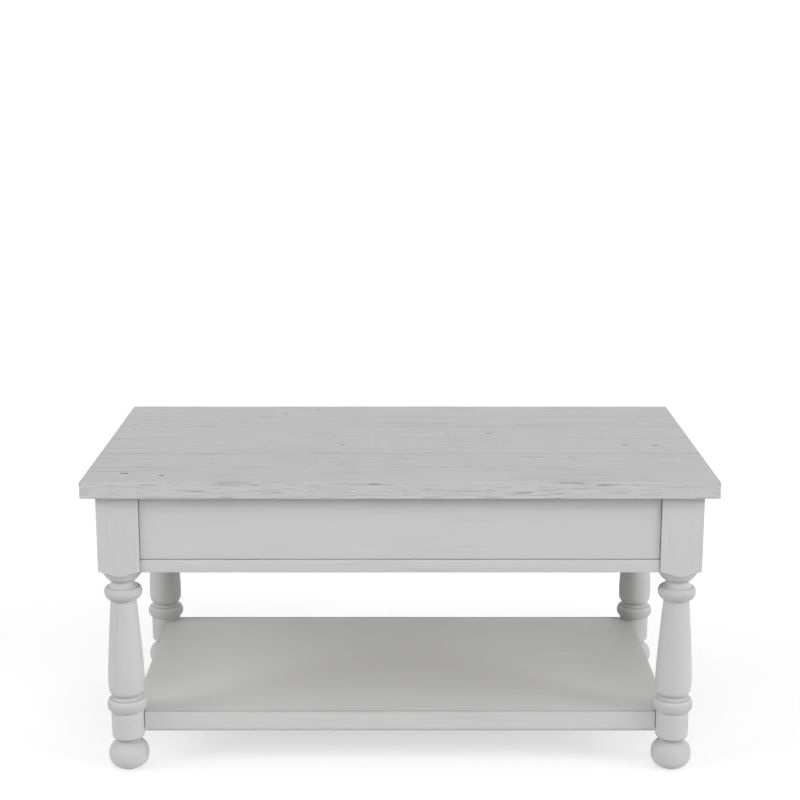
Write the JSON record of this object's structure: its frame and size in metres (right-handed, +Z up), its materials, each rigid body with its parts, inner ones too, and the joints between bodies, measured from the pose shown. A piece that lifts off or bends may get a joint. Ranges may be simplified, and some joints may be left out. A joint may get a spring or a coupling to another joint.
{
  "type": "lift top coffee table",
  "caption": "Rectangular coffee table with a planked lid that lifts up and forward over a storage box, on turned legs with ball feet and a low shelf.",
  "frame": {"origin": "on the floor, under the centre of the table", "axes": "+X towards the table's right end, +Y towards its back, +Z up; the lid opens towards -Y"},
  "size_m": [1.016, 0.55, 0.505],
  "materials": {
    "lid_wood": "grey-white paint, wire-brushed, open grain showing as fine dark streaks",
    "frame_wood": "smooth satin grey-white paint",
    "inner_wood": "plain sanded wood under a thin grey wash",
    "lift_steel": "black powder coat",
    "pin_steel": "zinc plated",
    "spring_steel": "bright wound wire, lightly oiled",
    "felt": "pressed felt",
    "nylon": "moulded nylon"
  },
  "bodies": {
    "table_frame": {"leg_front_left": "frame_wood", "leg_front_right": "frame_wood", "leg_back_left": "frame_wood", "leg_back_right": "frame_wood", "foot_glide_front_left": "nylon", "foot_glide_front_right": "nylon", "foot_glide_back_left": "nylon", "foot_glide_back_right": "nylon", "apron_front": "frame_wood", "apron_back": "frame_wood", "apron_left": "frame_wood", "apron_right": "frame_wood", "bottom_rail_front": "frame_wood", "bottom_rail_back": "frame_wood", "bottom_rail_left": "frame_wood", "bottom_rail_right": "frame_wood", "storage_box_floor": "inner_wood", "corner_block_front_left": "inner_wood", "corner_block_front_right": "inner_wood", "corner_block_back_left": "inner_wood", "corner_block_back_right": "inner_wood", "shelf": "frame_wood", "rest_pad_front_left": "felt", "rest_pad_front_right": "felt", "rest_pad_back_left": "felt", "rest_pad_back_right": "felt", "base_bracket_left": "lift_steel", "base_pin_front_left": "pin_steel", "base_pin_back_left": "pin_steel", "spring_anchor_pin_left": "pin_steel", "lift_spring_left": "spring_steel", "base_bracket_right": "lift_steel", "base_pin_front_right": "pin_steel", "base_pin_back_right": "pin_steel", "spring_anchor_pin_right": "pin_steel", "lift_spring_right": "spring_steel"},
    "front_arms": {"front_arm_left": "lift_steel", "front_arm_right": "lift_steel", "lever_pin_left": "pin_steel", "lever_pin_right": "pin_steel", "cross_tube": "lift_steel"},
    "back_arm_left": {"back_arm_left": "lift_steel"},
    "back_arm_right": {"back_arm_right": "lift_steel"},
    "lid": {"lid_board_1": "lid_wood", "lid_board_2": "lid_wood", "lid_board_3": "lid_wood", "lid_board_4": "lid_wood", "lid_board_5": "lid_wood", "lid_board_6": "lid_wood", "lid_batten_left": "inner_wood", "lid_batten_right": "inner_wood", "lid_bracket_left": "lift_steel", "lid_bracket_right": "lift_steel", "lid_pin_front_left": "pin_steel", "lid_pin_back_left": "pin_steel", "lid_pin_front_right": "pin_steel", "lid_pin_back_right": "pin_steel"}
  },
  "joints": [
    {"name": "lid_lift", "type": "hinge", "parent": "table_frame", "child": "front_arms", "pos_m": [0, -0.12, 0.4195], "axis": [1, 0, 0], "range_deg": [0, 120], "deforming": ["lift_spring_left", "lift_spring_right"]},
    {"name": "lid_level", "type": "hinge", "parent": "front_arms", "child": "lid", "pos_m": [0, 0.10158, 0.45857], "axis": [1, 0, 0], "range_deg": [-120, 0]},
    {"name": "back_arm_left_swing", "type": "hinge", "parent": "table_frame", "child": "back_arm_left", "pos_m": [-0.457, -0.04482, 0.39214], "axis": [1, 0, 0], "range_deg": [0, 120]},
    {"name": "back_arm_right_swing", "type": "hinge", "parent": "table_frame", "child": "back_arm_right", "pos_m": [0.457, -0.04482, 0.39214], "axis": [1, 0, 0], "range_deg": [0, 120]}
  ],
  "couplings": [
    {"joint": "lid_level", "follows": "lid_lift", "ratio": -1},
    {"joint": "back_arm_left_swing", "follows": "lid_lift", "ratio": 1},
    {"joint": "back_arm_right_swing", "follows": "lid_lift", "ratio": 1}
  ]
}
